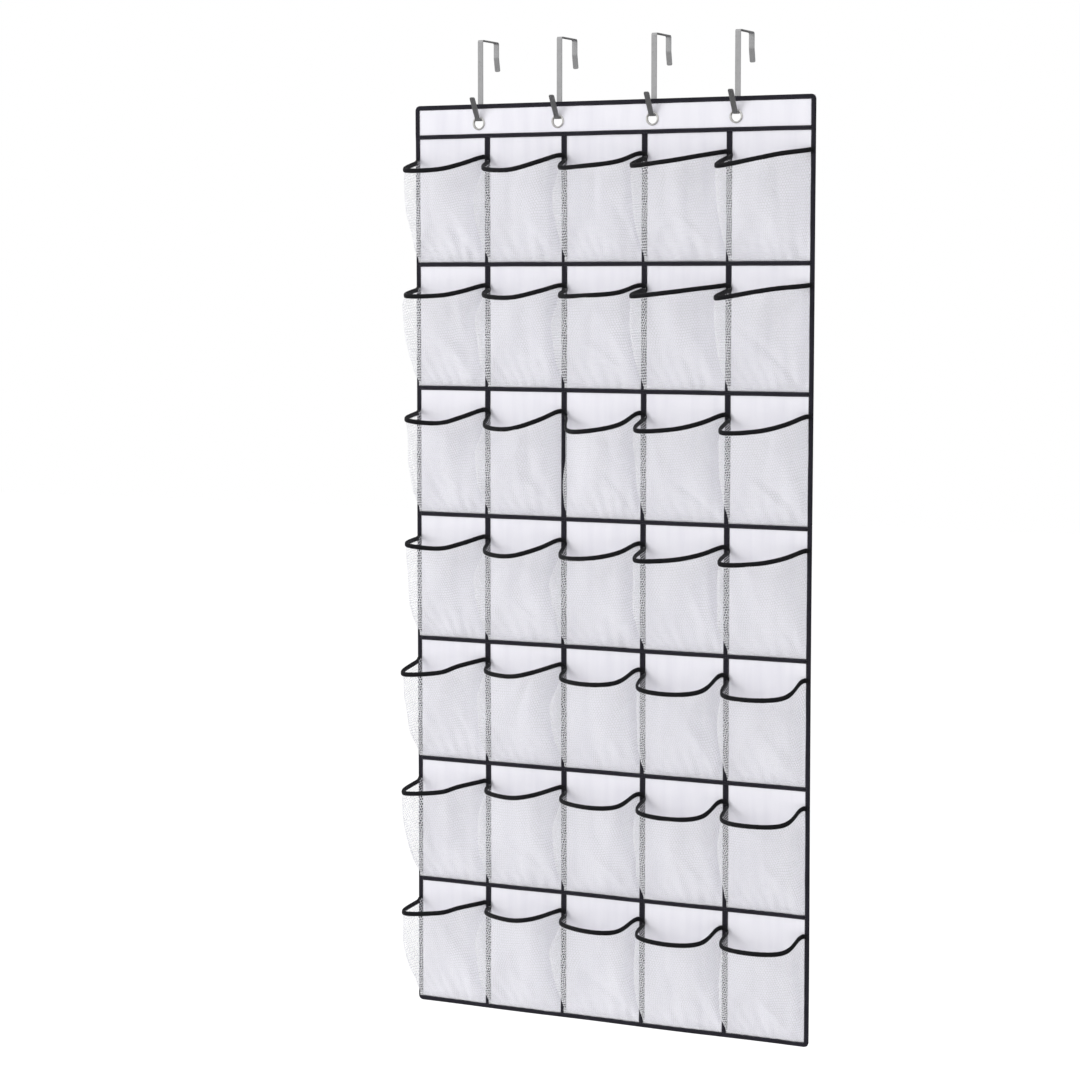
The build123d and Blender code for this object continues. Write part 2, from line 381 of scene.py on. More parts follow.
# Each tape's second colour is the lighter, bluish painted highlight on its rib crowns.
TAPE = ribbed_material("tape", (0.011, 0.010, 0.016, 1), (0.066, 0.059, 0.094, 1), rib=0.9 * MM, rough=0.6)
PIPING = ribbed_material("piping", (0.002, 0.002, 0.0035, 1), (0.0075, 0.007, 0.013, 1), rib=0.7 * MM,
                         rough=0.5)
THREAD = thread_material()
STEEL = steel_material()
NICKEL = nickel_material()


def place(piece, slot, *stands_for):
    """Puts a piece on the cloth panel and in the place of CAD nodes; slot is not used."""
    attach(piece, "panel")
    if stands_for:
        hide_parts(*stands_for)
    return piece


# ---- cloth sheets -------------------------------------------------------------------------------
CLOTH_CUT = EYELET_HOLE + 0.6 * MM                       # radius of the holes cut for the eyelets
CUT_SIDES = 32
CLOTH_INSET = 1.2 * MM                                   # from the binding's rim to the cloth's edge
BACKING_STEP = 9 * MM
HEADER_STEP = 6 * MM


def clear_of_eyelets(point, distance):
    """Whether a flat (x, z) point is farther than distance from every eyelet's middle."""
    return all((point - Vector((x, EYELET_Z))).length > distance for x in HOOK_X)


def sheet_with_holes(name, low_z, base_y, step):
    """A rippled sheet from low_z up to the binding's rim, cut round the eyelets."""
    x0, x1 = EDGE_LOW.x + CLOTH_INSET, EDGE_HIGH.x - CLOTH_INSET
    z0, z1 = low_z, EDGE_HIGH.z - CLOTH_INSET
    points = [Vector(p) for p in ((x0, z0), (x1, z0), (x1, z1), (x0, z1))]
    edges = [(0, 1), (1, 2), (2, 3), (3, 0)]
    for hole_x in HOOK_X:
        first = len(points)
        for k, angle in enumerate(angles(CUT_SIDES)):
            across, up = CLOTH_CUT * math.cos(angle), CLOTH_CUT * math.sin(angle)
            points.append(Vector((hole_x + across, EYELET_Z + up)))
            edges.append((first + k, first + (k + 1) % CUT_SIDES))
    columns = max(2, round((x1 - x0) / step))
    rows = max(2, round((z1 - z0) / step))
    for i in range(columns + 1):
        for j in range(rows + 1):
            point = Vector((x0 + (x1 - x0) * i / columns, z0 + (z1 - z0) * j / rows))
            corner = i in (0, columns) and j in (0, rows)
            if not corner and clear_of_eyelets(point, CLOTH_CUT + 0.6 * step):
                points.append(point)
    flat, _, triangles, *_ = geometry.delaunay_2d_cdt(points, edges, [], 2, 1e-7)
    faces = []
    for triangle in triangles:
        centre = sum((flat[i] for i in triangle), Vector((0, 0))) / len(triangle)
        if clear_of_eyelets(centre, 0.97 * CLOTH_CUT):
            faces.append(tuple(reversed(triangle)))
    solid = [Vector((p.x, base_y - ripple(p.x, p.y), p.y)) for p in flat]
    return make_mesh(name, solid, faces, [(p.x, p.y) for p in flat], NONWOVEN)


def make_cloths():
    """The backing over the whole panel and the header's second layer in front of it."""
    backing = sheet_with_holes("backing_cloth", EDGE_LOW.z + CLOTH_INSET, CLOTH_Y, BACKING_STEP)
    place(backing, "nonwoven_cloth", "backing_panel")
    header = sheet_with_holes("header_cloth", HEADER_LINE, BAND_Y, HEADER_STEP)
    place(header, "nonwoven_cloth", "header_band")


# ---- tapes --------------------------------------------------------------------------------------
TAPE_STEP = 5 * MM                                       # between a tape's stations
TAPE_WANDER = 0.25 * MM                                  # how far sewn tape strays from straight
TAPE_TUCK = 0.9 * BINDING_WIDTH                          # from the rim to a tape's end, under the binding
ROW_TAPE_THICK = 0.9 * MM
ROW_TAPE_LIFT = 0.5 * MM                                 # row tapes cross over the column tapes
COLUMN_TAPE_THICK = 0.8 * MM
STITCH_PITCH = 4.2 * MM
STITCH_LENGTH = 3.3 * MM
STITCH_WIDTH = 0.7 * MM
STITCH_INSET = 1.5 * MM                                  # from a tape's edge to its stitches
STITCH_BACK_Y = CLOTH_Y + 0.3 * MM                       # stitches on the back of the cloth


def along_cloth(start, end, base_y):
    """Stations for a tape laid straight on the cloth, wandering a little as sewn tape does."""
    start, end = Vector(start), Vector(end)
    count = max(2, round((end - start).length / TAPE_STEP))
    line = (end - start).normalized()
    side = Vector((line.z, 0, -line.x))
    stations = []
    for k in range(count + 1):
        p = start.lerp(end, k / count)
        stray = noise.noise(Vector((p.x * 22, p.z * 22, 7.3))) * TAPE_WANDER
        p = p + side * stray
        stations.append((Vector((p.x, base_y - ripple(p.x, p.z), p.z)), side, FORWARD))
    return stations


def stitch_line(stations, aside, above):
    """Small oval stitches along a tape, aside from its middle and above its base."""
    parts = []
    travelled, due = 0.0, STITCH_PITCH / 2
    for (start, across, out), (end, _, _) in zip(stations, stations[1:]):
        run = (end - start).length
        along = (end - start) / run
        side = across.normalized()
        while due < travelled + run:
            centre = start + along * (due - travelled) + side * aside + out * above
            reach, wide, tall = along * STITCH_LENGTH / 2, side * STITCH_WIDTH / 2, out * STITCH_WIDTH / 2
            points = [centre - reach, centre + wide, centre + tall, centre - wide, centre - tall,
                      centre + reach]
            faces = [(0, 1, 2), (0, 2, 3), (0, 3, 4), (0, 4, 1), (5, 2, 1), (5, 3, 2), (5, 4, 3), (5, 1, 4)]
            parts.append((points, faces, [(0, due)] * len(points)))
            due += STITCH_PITCH
        travelled += run
    return parts


def seam(stations, width, thick, base_y):
    """Two lines of stitches near a tape's edges, on its face and behind the cloth."""
    parts = []
    for aside in (-width / 2 + STITCH_INSET, width / 2 - STITCH_INSET):
        parts += stitch_line(stations, aside, 0.93 * thick)
        parts += stitch_line(stations, aside, base_y - STITCH_BACK_Y)
    return parts


def make_tapes():
    """Level tapes under the rows, upright tapes between the columns, and their stitches."""
    left, right, foot = EDGE_LOW.x + TAPE_TUCK, EDGE_HIGH.x - TAPE_TUCK, EDGE_LOW.z + TAPE_TUCK
    row_stitches, column_stitches = [], []
    for number, z in enumerate(ROW_LINES):
        base_y, node = FACE_Y - ROW_TAPE_LIFT, f"row_tape_{number}"
        if number == 0:
            base_y, node = BAND_LOW.y, "header_tape"
        stations = along_cloth((left, 0, z), (right, 0, z), base_y)
        section = tape_section(ROW_TAPE_WIDTH, ROW_TAPE_THICK)
        place(make_mesh(f"tape_{node}", *swept(stations, section), TAPE), "black_tape", node)
        row_stitches += seam(stations, ROW_TAPE_WIDTH, ROW_TAPE_THICK, base_y)
    for number, x in enumerate(COLUMN_X, start=1):
        stations = along_cloth((x, 0, HEADER_LINE), (x, 0, foot), FACE_Y)
        section = tape_section(COLUMN_TAPE_WIDTH, COLUMN_TAPE_THICK)
        tape = make_mesh(f"tape_column_{number}", *swept(stations, section), TAPE)
        place(tape, "black_tape", *(["column_tapes"] if number == 1 else []))
        column_stitches += seam(stations, COLUMN_TAPE_WIDTH, COLUMN_TAPE_THICK, FACE_Y)
    for name, parts in (("row_stitches", row_stitches), ("column_stitches", column_stitches)):
        place(make_mesh(name, *join_parts(parts), THREAD), "black_tape")


# ---- edge binding -------------------------------------------------------------------------------
CORNER_RADIUS = 8 * MM
CORNER_STEPS = 8
EDGE_STEP = 6 * MM                                       # between stations along the straight edges
BINDING_THICK = 0.7 * MM
BINDING_UV_STEP = 1.1 * MM                               # tape between two points of its section


def edge_path(margin):
    """Points round the panel's edge with the direction into the cloth, clockwise from the top left."""
    radius = CORNER_RADIUS - margin
    low_x, high_x = EDGE_LOW.x + CORNER_RADIUS, EDGE_HIGH.x - CORNER_RADIUS
    low_z, high_z = EDGE_LOW.z + CORNER_RADIUS, EDGE_HIGH.z - CORNER_RADIUS
    corners = [(low_x, high_z, 180), (high_x, high_z, 90), (high_x, low_z, 0), (low_x, low_z, -90)]
    path = []
    for index, (x, z, start) in enumerate(corners):
        for k in range(CORNER_STEPS + 1):
            angle = math.radians(start - 90 * k / CORNER_STEPS)
            out = Vector((math.cos(angle), 0, math.sin(angle)))
            path.append((Vector((x, 0, z)) + out * radius, -out))
        next_x, next_z, next_start = corners[(index + 1) % len(corners)]
        angle = math.radians(next_start)
        target = Vector((next_x, 0, next_z)) + Vector((math.cos(angle), 0, math.sin(angle))) * radius
        here, inward = path[-1]
        count = round((target - here).length / EDGE_STEP)
        path.extend((here.lerp(target, k / count), inward) for k in range(1, count))
    return path


def front_of_edge(z):
    """Y of the cloth's front under the binding: the header has a second layer."""
    lift = smooth(z, HEADER_LINE - 8 * MM, HEADER_LINE + 8 * MM)
    return FACE_Y + lift * (BAND_LOW.y - FACE_Y)


def binding_section():
    """The folded binding's section, from its front band's inner edge round the rim to the back's.

    Each entry is (distance in from the rim, side, bulge). Side goes from 1 on the cloth's front to
    -1 on its back, and bulge is how far the tape stands out from there.
    """
    domes = [(BINDING_WIDTH * (1 - k / 6),
              BINDING_THICK * (0.35 + 0.65 * math.sin(math.pi * min(1, 0.12 + k / 7)))) for k in range(7)]
    front = [(inset, 1, bulge) for inset, bulge in domes]
    rim = [(0.0, 0.55, 0.35 * MM), (-0.1 * MM, 0.0, 0.0), (0.0, -0.55, 0.35 * MM)]
    back = [(inset, -1, bulge) for inset, bulge in reversed(domes)]
    fold = 0.6 * BINDING_WIDTH
    inner = [(BINDING_WIDTH, -1, 0.0), (fold, -0.8, 0.0), (fold, 0.8, 0.0), (BINDING_WIDTH, 1, 0.0)]
    return front + rim + back + inner


def make_binding():
    """Tape folded over the edge: domed front and back bands joined round the rim."""
    section = binding_section()
    path = edge_path(0)
    points, uvs = [], []
    length, last = 0.0, path[0][0]
    for rim, inward in path:
        length += (rim - last).length
        last = rim
        uneven = 1 + 0.05 * noise.noise(Vector((rim.x * 30, rim.z * 30, 1.9)))
        half_front, half_back = CLOTH_Y - front_of_edge(rim.z), BACK_HIGH.y - CLOTH_Y
        for index, (inset, side, bulge) in enumerate(section):
            p = rim + inward * uneven * inset
            half = half_front if side > 0 else half_back
            y = CLOTH_Y - ripple(p.x, p.z) - side * half - math.copysign(bulge, side)
            points.append(Vector((p.x, y, p.z)))
            uvs.append((index * BINDING_UV_STEP, length))
    # The path runs clockwise, so its faces are wound the other way.
    faces = [(a, d, c, b) for a, b, c, d in tube_faces(len(path), len(section), closed=True)]
    binding = make_mesh("edge_binding_tape", points, faces, uvs, TAPE)
    place(binding, "black_tape", "edge_binding")

    parts = []
    for front in (True, False):
        line = []
        for point, inward in edge_path(BINDING_WIDTH - STITCH_INSET):
            y = front_of_edge(point.z) - 0.6 * MM if front else BACK_HIGH.y + 0.6 * MM
            line.append((Vector((point.x, y - ripple(point.x, point.z), point.z)), inward, FORWARD))
        parts += stitch_line(line + line[:1], 0.0, 0.0)
    place(make_mesh("binding_stitches", *join_parts(parts), THREAD), "black_tape")


# ---- pockets ------------------------------------------------------------------------------------
# Each mouth, in mm: left corner's distance from the seam, its depth and fall; the middle's depth
# and fall; right corner's distance from the seam, its depth and fall. One entry for each column.
TAUT_MOUTHS = (
    (-1, 51, 16, 47, 16, 31, 30, 8), (5, 34, 15, 53, 19, 20, 46, 7), (5, 37, 16, 55, 15, 22, 44, 9),
    (-6, 48, 16, 54, 10, 38, 31, 3), (-7, 48, 19, 50, 9, 40, 32, 2),
)
ROUND_MOUTHS = (
    (0, 52, 12, 45, 17, 31, 30, 8), (6, 32, 20, 55, 23, 22, 43, 9), (5, 33, 22, 53, 21, 21, 43, 10),
    (3, 50, 20, 48, 18, 28, 33, 8), (3, 48, 20, 48, 18, 27, 36, 8),
)
DEEP_MOUTHS = (
    (-9, 52, 20, 43, 16, 38, 29, 6), (6, 29, 11, 51, 13, 26, 54, 4), (6, 33, 14, 54, 17, 20, 47, 12),
    (5, 41, 19, 52, 24, 21, 38, 18), (5, 39, 21, 53, 24, 20, 35, 19),
)
CLOSED_MOUTH = (18, 38, 23, 54, 23, 21, 39, 13)          # the one pocket that leans off its seam
CLOSED_PLACE = (3, 3)
ROW_MOUTHS = (TAUT_MOUTHS, TAUT_MOUTHS, ROUND_MOUTHS, ROUND_MOUTHS, DEEP_MOUTHS, DEEP_MOUTHS, DEEP_MOUTHS)
ROW_LIFTS = (0, 4, 0, 3, 0, 3, 5)                        # mm by which a row's mouths fall less
ROW_FULLNESS = (0.0, 0.0, 1.0, 1.0, 0.15, 0.1, 0.1)      # 1 stays bulged lower down
MOUTH_DROP = (36 * MM, 36 * MM, 36 * MM, 36 * MM, 32 * MM, 32 * MM, 32 * MM)
MESH_LENGTH = 205 * MM                                   # cloth cut for one pocket's width
SIDE_BELLY = 49 * MM                                     # depth of the left side below the mouth
SIDE_OVERHANG = -3.5 * MM                                # columns 2 and 3 swell over their tape
RIGHT_RISE = 5 * MM                                      # right end of a mouth above its left end
SEWN_DEPTH = 0.9 * MM                                    # mesh over the backing where it is sewn
DEEPEST = 58 * MM
BROAD_WRINKLE = 5.5 * MM                                 # heights of a pocket's slack
FINE_WRINKLE = 2.0 * MM
GATHER_WAVE = 1.4 * MM
PLEAT_RIDGE = 1.2 * MM
PLEAT_REACH = 1.6                                        # faces on each side of a pleat's crest
ACROSS = 76                                              # faces across a pocket
DOWN = 54                                                # faces down a pocket
RIM_POINTS = 120                                         # points along a section before it is eased
EASINGS = 24
HEM_ROWS = (0.985, 0.97, 0.955)                          # shares of the way down, turned up in front
HEM_DEPTH = 0.7 * MM                                     # the turned-up hem in front of the mesh
LEAST_DEPTH = 0.7 * MM                                   # between the mesh and the backing


def spline(controls, samples=16):
    """Catmull-Rom curve through the controls, as an array of points."""
    controls = np.asarray(controls, float)
    padded = np.vstack([2 * controls[0] - controls[1], controls, 2 * controls[-1] - controls[-2]])
    t = np.linspace(0, 1, samples, endpoint=False)[:, None]
    pieces = []
    for p0, p1, p2, p3 in zip(padded, padded[1:], padded[2:], padded[3:]):
        pieces.append(0.5 * (2 * p1 + (p2 - p0) * t + (2 * p0 - 5 * p1 + 4 * p2 - p3) * t**2
                             + (3 * p1 - p0 - 3 * p2 + p3) * t**3))
    return np.vstack(pieces + [controls[-1:]])


def even(points, count):
    """The same curve with evenly spaced points."""
    steps = np.linalg.norm(np.diff(points, axis=0), axis=1)
    length = np.concatenate([[0], np.cumsum(steps)])
    wanted = np.linspace(0, length[-1], count)
    return np.stack([np.interp(wanted, length, points[:, k]) for k in range(3)], axis=1)


def pocket_span(row, column):
    """Left and right sides, mouth's corner height and foot of a pocket, from its neighbours."""
    left, right = EDGE_LOW.x + BINDING_WIDTH, EDGE_HIGH.x - BINDING_WIDTH
    if column > 1:
        left = COLUMN_X[column - 2] + COLUMN_TAPE_WIDTH / 2
    if column < COLUMNS:
        right = COLUMN_X[column - 1] - COLUMN_TAPE_WIDTH / 2
    top = ROW_LINES[row - 1] - MOUTH_DROP[row - 1]
    foot = EDGE_LOW.z + BINDING_WIDTH if row == ROWS else ROW_LINES[row] + ROW_TAPE_WIDTH / 2
    return left, right, top, foot


def relaxed(curve):
    """The curve eased towards its neighbours' mean, little near its left corner, fully past its middle."""
    ease = np.clip((np.arange(1, len(curve) - 1) - 40) / 15, 0.12, 1)[:, None] * 0.5
    for _ in range(EASINGS):
        curve[1:-1] += ease * ((curve[:-2] + curve[2:]) / 2 - curve[1:-1])
    return curve


def section_of(row, column, down):
    """A pocket's section at a share of the way down, as (x, depth, fall) points in metres."""
    left, right, _, _ = pocket_span(row, column)
    width = right - left
    closed = (row, column) == CLOSED_PLACE
    mouth = CLOSED_MOUTH if closed else ROW_MOUTHS[row - 1][column - 1]
    l_in, l_depth, l_fall, m_depth, m_fall, r_in, r_depth, r_fall = (MM * value for value in mouth)
    lift = ROW_LIFTS[row - 1] * MM
    l_fall, m_fall, r_fall = l_fall - lift, m_fall - lift, r_fall - lift / 2
    if not closed:
        swell = smooth(down, 0, 0.35)
        l_depth += (SIDE_BELLY - l_depth) * swell
        if column in (2, 3):
            l_in += (SIDE_OVERHANG - l_in) * swell
    # The shares of the left, middle and right depths that remain here, down to none at the foot.
    full = ROW_FULLNESS[row - 1]
    l_left = max(0.0, 1 - (down / 0.965) ** (2.5 + 0.9 * full))
    m_left = max(0.0, 1 - down ** (2.2 + 0.6 * full)) * (1 + 0.05 * math.sin(math.pi * min(1, down / 0.5)))
    r_left = max(0.0, 1 - (down / 0.98) ** (1.6 + 0.7 * full))
    keep = 1 - 0.75 * smooth(down, 0.3, 1.0)
    fall = (1 - down) ** 1.4
    controls = [
        (1.5 * MM * (1 - down), SEWN_DEPTH, 0),
        (l_in * keep, l_depth * l_left + SEWN_DEPTH, l_fall * fall),
        (0.47 * width, m_depth * m_left + 1.5 * SEWN_DEPTH, m_fall * fall),
        (width - r_in * keep, r_depth * r_left + SEWN_DEPTH, r_fall * fall),
        (width - 5 * MM, 0.2 * r_depth * r_left + SEWN_DEPTH, -0.75 * RIGHT_RISE * fall),
        (width - 0.3 * MM, SEWN_DEPTH, -RIGHT_RISE * fall),
    ]
    return relaxed(even(spline(controls), RIM_POINTS))


class Slack:
    """One pocket's loose cloth: its wrinkles, the gathers at its foot and its long folds."""

    def __init__(self, row, column, width, height):
        dice = random.Random(100 * row + column)
        self.seed = Vector((row * 7.31, column * 3.77, 0.5))
        self.width, self.height = width, height
        self.creases = self.draw_creases(dice)
        self.gathers = dice.uniform(6.0, 8.5)
        self.phase = dice.uniform(0, 2 * math.pi)
        self.lean = dice.uniform(-0.6, 0.9)

    def draw_creases(self, dice):
        """Folds up from the bottom corners and down from the mouth, as (start, end, mm tall, mm broad)."""
        creases = []
        for corner in (0.0, 1.0, 1.0):
            inward = 0.5 - corner
            reach = dice.uniform(0.25, 0.6)
            start = (corner + inward * dice.uniform(0.0, 0.25), 1.0)
            end = (corner + inward * 2 * reach, dice.uniform(0.25, 0.6))
            tall = dice.uniform(4.0, 7.5) * dice.choice((-1, 1, 1))
            creases.append((start, end, tall, dice.uniform(6, 12)))
        for _ in range(3):
            across = dice.uniform(0.2, 0.85)
            end = (across + dice.uniform(-0.12, 0.12), dice.uniform(0.5, 0.9))
            tall = dice.uniform(2.2, 4.4) * dice.choice((-1, 1))
            creases.append(((across, 0.06), end, tall, dice.uniform(5, 10)))
        return creases

    def crease(self, s, v):
        """The folds' push: each is a ridge along its line that fades at both ends."""
        push = 0.0
        for (s0, v0), (s1, v1), tall, broad in self.creases:
            ax, ay = (s1 - s0) * self.width, (v1 - v0) * self.height
            px, py = (s - s0) * self.width, (v - v0) * self.height
            length = math.hypot(ax, ay)
            along = (px * ax + py * ay) / length**2
            if -0.15 < along < 1.15:
                away = (px * ay - py * ax) / length / (broad * MM)
                fade = smooth(along, -0.15, 0.2) * (1 - smooth(along, 0.55, 1.15))
                push += tall * MM * math.exp(-abs(away) ** 1.5) * fade
        return push

    def wrinkle(self, s, v):
        """Slanting soft wrinkles that die out at the mouth and the foot."""
        broad = noise.noise(self.seed + Vector((s * 4.5 + self.lean * v * 2.2, v * 2.0, 0))) * BROAD_WRINKLE
        fine = noise.noise(self.seed + Vector((s * 11 - self.lean * v * 3, v * 3.5, 4))) * FINE_WRINKLE
        return (broad + fine) * smooth(v, 0.0, 0.2) * (1 - smooth(v, 0.93, 1.0))

    def gather(self, s, v):
        """Upright waves that grow towards the sewn foot."""
        strength = smooth(v, 0.45, 0.93) * (1 - 0.6 * smooth(v, 0.95, 1.0))
        wave = math.sin(2 * math.pi * self.gathers * s + self.phase + 1.5 * self.lean * v)
        return wave * GATHER_WAVE * strength

    def push(self, s, v):
        """How far the cloth stands out from its smooth form, at shares s across and v down."""
        inner = math.sin(math.pi * s) ** 0.5
        return (self.wrinkle(s, v) + self.gather(s, v) + self.crease(s, v)) * inner


def make_pocket(row, column):
    """A gathered mesh pocket with its foot turned up in a narrow hem."""
    left, right, top, foot = pocket_span(row, column)
    height = top - foot
    slack = Slack(row, column, right - left, height)
    closed = (row, column) == CLOSED_PLACE
    points, uvs, faces, pressed = [], [], [], []
    down = [j / DOWN for j in range(DOWN + 1)] + list(HEM_ROWS)
    for j, v in enumerate(down):
        in_hem = j > DOWN
        curve = even(section_of(row, column, v), ACROSS + 1)
        tangent = np.gradient(curve[:, :2], axis=0)
        tangent /= np.linalg.norm(tangent, axis=1)[:, None] + 1e-9
        # The left side is pressed into a crisp pleat where it turns to the front.
        turn = int(np.argmax(0.5 * curve[: ACROSS // 2, 1] - curve[: ACROSS // 2, 0]))
        crisp = 0.0 if closed else smooth(v, 0.02, 0.15) * (1 - smooth(v, 0.75, 0.95))
        for i, (x, depth, fall) in enumerate(curve):
            s = i / ACROSS
            pleat = crisp * math.exp(-(((i - turn) / PLEAT_REACH) ** 2))
            pressed.append(pleat)
            push = slack.push(s, v) + PLEAT_RIDGE * pleat
            out_x, out_y = -tangent[i, 1], tangent[i, 0]
            px = left + x + out_x * push * 0.7
            deep = min(max(depth + out_y * push, LEAST_DEPTH), DEEPEST) + (HEM_DEPTH if in_hem else 0)
            z = top - v * height - fall
            points.append(Vector((px, FACE_Y - ripple(px, z) - deep, z)))
            uvs.append((s * MESH_LENGTH, (2 - v if in_hem else v) * height))
    stride = ACROSS + 1
    for j in range(len(down) - 1):
        for a in range(j * stride, j * stride + ACROSS):
            faces.append((a, a + stride, a + stride + 1, a + 1))
    pocket = make_mesh(f"mesh_pocket_r{row}_c{column}", points, faces, uvs, NET)
    pocket.data.attributes.new("pressed", "FLOAT", "POINT").data.foreach_set("value", pressed)
    place(pocket, "pocket_mesh", f"pocket_r{row}_c{column}")


# ---- piping on the mouths -----------------------------------------------------------------------
PIPING_TALL = 3.8 * MM                                   # half of its height
PIPING_THICK = 2.1 * MM                                  # half of its thickness
PIPING_DROP = 2.4 * MM                                   # its middle below the mesh's edge
PIPING_CLEARANCE = 1.0 * MM                              # least gap to the backing
PIPING_POINTS = 560
PIPING_SIDES = 14
RIM_SKIPPED = 8                                          # first points of a rim, where the turn is


def piping_line(row):
    """The row's piping as one line: round each mouth and flat over the tapes between them."""
    line = []
    for column in range(1, COLUMNS + 1):
        left, right, top, _ = pocket_span(row, column)
        if column == 1:
            line.append((left - 4 * MM, 1.9 * MM, top + 1 * MM))
        for x, depth, fall in section_of(row, column, 0.0)[RIM_SKIPPED:]:
            line.append((left + x, max(depth, 1.7 * MM), top - fall))
        line.append((right + 0.45 * COLUMN_TAPE_WIDTH, 2.6 * MM, top + 0.85 * RIGHT_RISE))
        if column < COLUMNS:
            far = right + COLUMN_TAPE_WIDTH
            line.append((far - 0.8 * MM, 3.0 * MM, top + 2.0 * MM))
            line.append((far + 1.0 * MM, 3.6 * MM, top - 1.6 * MM))
            line.append((far - 0.4 * MM, 5.0 * MM, top - 4.6 * MM))
    return np.asarray(line)


def make_piping(row):
    """A folded tape round the mouths: an oval tube that rounds off where it turns down a tape."""
    line = even(piping_line(row), PIPING_POINTS)
    line[1:-1] = 0.25 * line[:-2] + 0.5 * line[1:-1] + 0.25 * line[2:]
    points = [Vector((x, FACE_Y - ripple(x, z) - depth, z)) for x, depth, z in line]
    stations = []
    for k, p in enumerate(points):
        tangent = (points[min(k + 1, len(points) - 1)] - points[max(k - 1, 0)]).normalized()
        up = (UP - tangent * UP.dot(tangent)).normalized()
        out = tangent.cross(up)
        up = up * (1 - 0.4 * smooth(abs(tangent.z), 0.45, 0.9))
        up = up * (1 + 0.05 * noise.noise(Vector((k * 0.35, row, 2.2))))
        reach = math.hypot(up.y * PIPING_TALL, out.y * PIPING_THICK)
        short = max(0.0, reach + PIPING_CLEARANCE - line[k][1])
        stations.append((p - UP * PIPING_DROP + FORWARD * short, up, out))
    section = []
    for angle in angles(PIPING_SIDES):
        square = math.copysign(abs(math.sin(angle)) ** 0.8, math.sin(angle))
        section.append((PIPING_TALL * square, PIPING_THICK * math.cos(angle)))
    piping = make_mesh(f"piping_r{row}", *swept(stations, section), PIPING)
    place(piping, "mouth_piping", f"mouth_piping_r{row}")


# ---- eyelets and hooks --------------------------------------------------------------------------
BORE = EYELET_HOLE + 0.4 * MM
BARREL = BORE + 0.3 * MM                                 # radius of the barrel through the cloth
LIP = 0.8 * MM                                           # half the width of the lip rolled behind
LIP_HEIGHT = 0.55 * MM
TURNED_SIDES = 72
EASED_EDGE = 0.3 * MM                                    # rounding of the hooks' edges


def turned(profile, x):
    """A closed profile of (radius, Y) pairs turned round an eyelet's axis at x."""
    points, uvs = [], []
    for ring, angle in enumerate(angles(TURNED_SIDES)):
        for k, (radius, y) in enumerate(profile):
            points.append(Vector((x + radius * math.cos(angle), y, EYELET_Z + radius * math.sin(angle))))
            uvs.append((k * MM, ring * MM))
    return points, tube_faces(TURNED_SIDES, len(profile), closed=True), uvs


def half_turn(steps):
    """Evenly spaced angles over half a turn, with both ends."""
    return [math.pi * k / steps for k in range(steps + 1)]


def make_eyelets():
    """Domed rings with a barrel and a rolled lip, and a slightly dished washer behind."""
    centre, half = (BORE + EYELET_OUTER) / 2, (EYELET_OUTER - BORE) / 2
    front, back = BAND_LOW.y, WASHER_HIGH.y
    dome = [(centre - half * math.cos(angle), front - half * math.sin(angle)) for angle in half_turn(12)]
    barrel = [(BARREL, front + 0.1 * MM), (BARREL, back)]
    lip = [(BORE + LIP * (1 + math.cos(angle)), back + LIP_HEIGHT * math.sin(angle))
           for angle in half_turn(8)]
    washer = [
        (BORE + 0.5 * MM, back), (EYELET_OUTER - 0.5 * MM, back - 0.15 * MM),
        (EYELET_OUTER, back - 0.35 * MM), (EYELET_OUTER - 0.3 * MM, WASHER_LOW.y),
        (BORE + 0.5 * MM, WASHER_LOW.y),
    ]
    for name, profile, node in (("eyelet_ring", dome + barrel + lip, "eyelet_rings"),
                                ("eyelet_washer", washer, "eyelet_washers")):
        for number, x in enumerate(HOOK_X, start=1):
            piece = make_mesh(f"{name}_{number}", *turned(profile, x), NICKEL)
            place(piece, "eyelet_nickel", *([node] if number == 1 else []))


def finish_hooks():
    """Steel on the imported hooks, with their sharp edges eased."""
    for number in range(1, 5):
        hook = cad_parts[f"hook_{number}"]
        hook.data.materials[0] = STEEL
        bevel = hook.modifiers.new("eased_edges", "BEVEL")
        bevel.width = EASED_EDGE
        bevel.segments = 2
        bevel.limit_method = "ANGLE"
        bevel.angle_limit = math.radians(40)
        bevel.harden_normals = True


# ---- camera, light and floor --------------------------------------------------------------------
CAMERA_PLACE = (1.859, -4.051, -0.392)
CAMERA_TURN = 26                                         # degrees to the right of the panel's face
CAMERA_DIP = 5.2                                         # degrees below level
CAMERA_LENS = 93.2                                       # mm, on a sensor 36 mm wide
KEY_PLACE = (-6.3, -6.9, 0.85)
KEY_AIM = (0, 0, -0.8)
KEY_SIZE = 5.1
KEY_WATTS = 373
BRIGHT_SIDE = (-0.62, -0.45, 0.64)                       # direction of the brightest soft light
WHITE = (1, 1, 1, 1)
FLOOR_REACH = 14.0
FLOOR_LEVEL = -2.03


def make_camera():
    """Stands to the organizer's right, level with the second row of mouths."""
    camera = bpy.data.objects.new("camera", bpy.data.cameras.new("camera"))
    bpy.context.scene.collection.objects.link(camera)
    camera.data.sensor_width = 36
    camera.data.lens = CAMERA_LENS
    camera.data.clip_end = 60
    camera.location = CAMERA_PLACE
    camera.rotation_euler = (math.radians(90 - CAMERA_DIP), 0, math.radians(CAMERA_TURN))
    bpy.context.scene.camera = camera
    bpy.context.scene.view_settings.view_transform = "Standard"


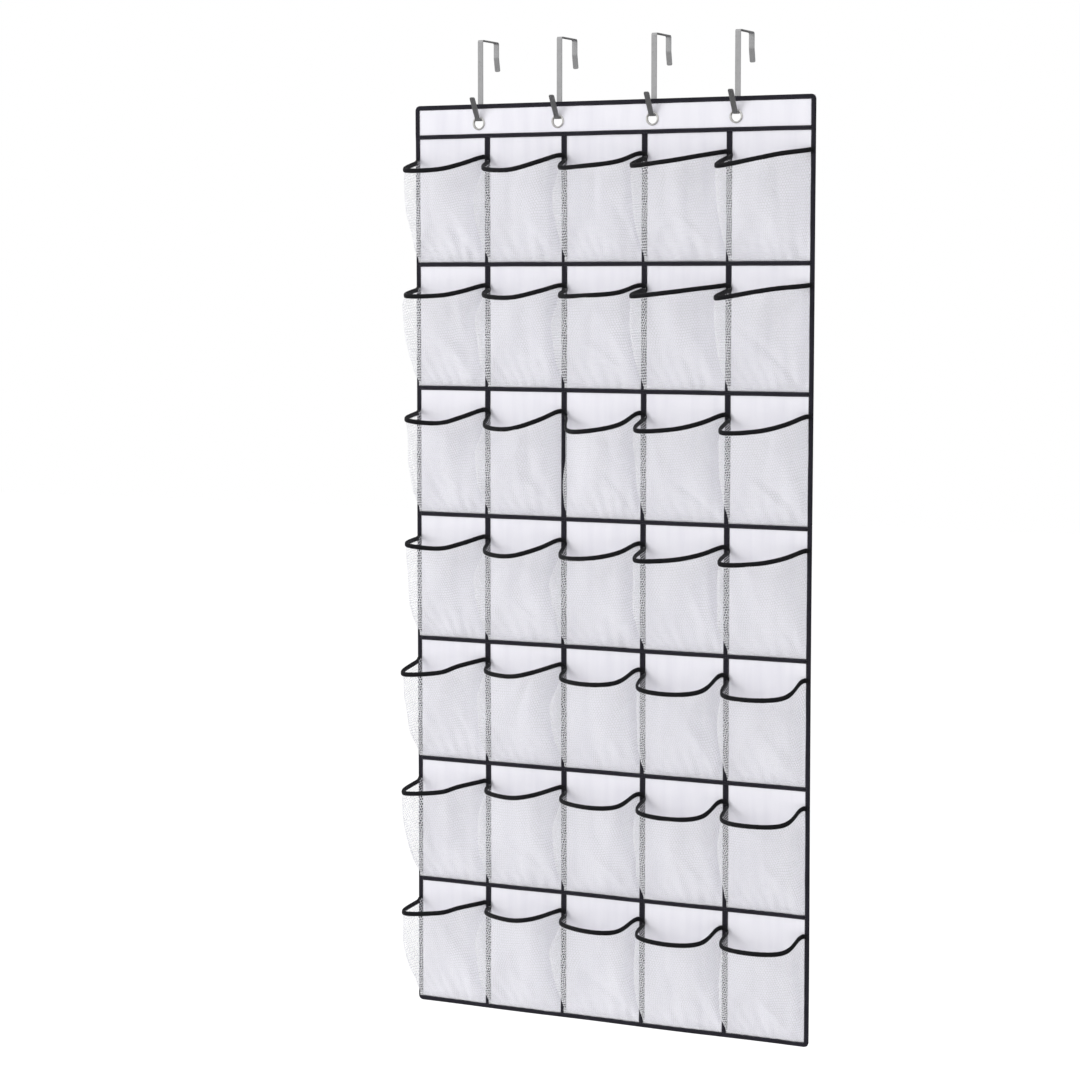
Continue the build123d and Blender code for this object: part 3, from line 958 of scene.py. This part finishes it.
def make_key_light():
    """One large soft lamp, in front and to the left."""
    light = bpy.data.lights.new("key", "AREA")
    light.size = KEY_SIZE
    light.energy = KEY_WATTS
    lamp = bpy.data.objects.new("key", light)
    lamp.location = KEY_PLACE
    lamp.rotation_euler = (Vector(KEY_AIM) - Vector(KEY_PLACE)).to_track_quat("-Z", "Y").to_euler()
    lamp.visible_glossy = False
    bpy.context.scene.collection.objects.link(lamp)


def make_soft_light():
    """White all round, brighter from the upper left front; metal mirrors a darker floor and rear."""
    sky = Nodes(bpy.data.worlds.new("studio"), "Background")
    toward = sky.add("ShaderNodeTexCoord").outputs["Generated"]
    facing = sky.add("ShaderNodeVectorMath", {"operation": "DOT_PRODUCT"}, _0=toward, _1=BRIGHT_SIDE)
    soft = sky.between(facing.outputs["Value"], -0.75, 0.8, 0.31, 0.68)
    split = sky.add("ShaderNodeSeparateXYZ", None, Vector=toward)
    above_floor = sky.between(split.outputs["Z"], -0.6, 0.05, 0.16, 0.85)
    before_rear = sky.between(split.outputs["Y"], 0.25, 0.8, 1.0, 0.3)
    mirrored = sky.math("MULTIPLY", above_floor, before_rear)
    ray = sky.add("ShaderNodeLightPath")
    strength = sky.blend(ray.outputs["Is Glossy Ray"], soft, mirrored)
    strength = sky.blend(ray.outputs["Is Camera Ray"], strength, 1.0)
    bpy.context.scene.world = sky.finish({"Color": WHITE}, Strength=strength)


def make_floor():
    """A plain pale floor, a little below the panel."""
    mesh = bpy.data.meshes.new("floor")
    corners = [(x * FLOOR_REACH, y * FLOOR_REACH, FLOOR_LEVEL)
               for x, y in ((-1, -1), (1, -1), (1, 1), (-1, 1))]
    mesh.from_pydata(corners, [], [(0, 1, 2, 3)])
    mesh.materials.append(new_look("floor").finish({
        "Base Color": (0.9, 0.9, 0.9, 1), "Roughness": 0.9,
        "Emission Color": WHITE, "Emission Strength": 0.5,
    }))
    floor = bpy.data.objects.new("floor", mesh)
    floor.visible_glossy = False
    bpy.context.scene.collection.objects.link(floor)


make_camera()
make_soft_light()
make_key_light()
make_floor()
make_cloths()
make_tapes()
make_binding()
for row_number in range(1, ROWS + 1):
    make_piping(row_number)
    for column_number in range(1, COLUMNS + 1):
        make_pocket(row_number, column_number)
make_eyelets()
finish_hooks()
